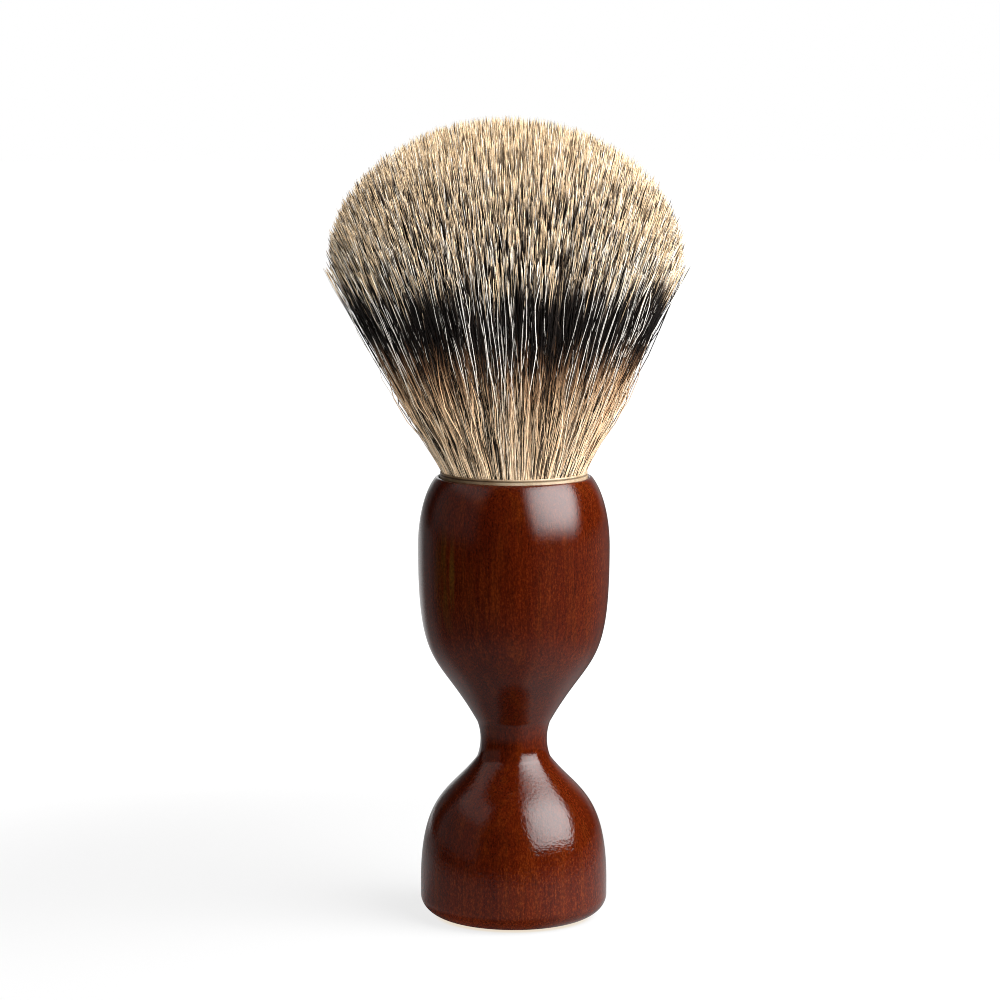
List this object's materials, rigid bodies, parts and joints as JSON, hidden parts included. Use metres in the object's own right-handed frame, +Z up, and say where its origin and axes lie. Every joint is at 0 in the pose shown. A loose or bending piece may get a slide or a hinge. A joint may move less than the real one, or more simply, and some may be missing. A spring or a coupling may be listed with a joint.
{
  "type": "shaving brush",
  "caption": "Standing shaving brush with a waisted, lacquered wooden handle, a pale resin collar and a fan of banded badger hair.",
  "frame": {"origin": "centre of the flat underside of the foot, on the surface that the brush stands on", "axes": "+Z up along the axis of the handle, towards the hair; +X to the right of the picture, -Y towards its camera"},
  "size_m": [0.0506, 0.0505, 0.1146],
  "materials": {
    "lacquered_wood": "red-brown stained hardwood under clear gloss lacquer",
    "adhesive": "set epoxy adhesive",
    "ivory_resin": "ivory cast resin, satin",
    "potting_resin": "set potting resin full of hair roots",
    "thread": "waxed thread",
    "hair_tips": "soft cream badger hair tips",
    "hair_band": "near-black band of badger hair",
    "hair_base": "tan and grey badger hair"
  },
  "bodies": {
    "root": {"handle": "lacquered_wood", "socket_adhesive": "adhesive", "knot_collar": "ivory_resin", "root_plug": "potting_resin", "binding_thread": "thread", "hair_core": "hair_tips", "hair_inner": "hair_tips", "hair_middle": "hair_band", "hair_outer": "hair_base"}
  },
  "joints": []
}
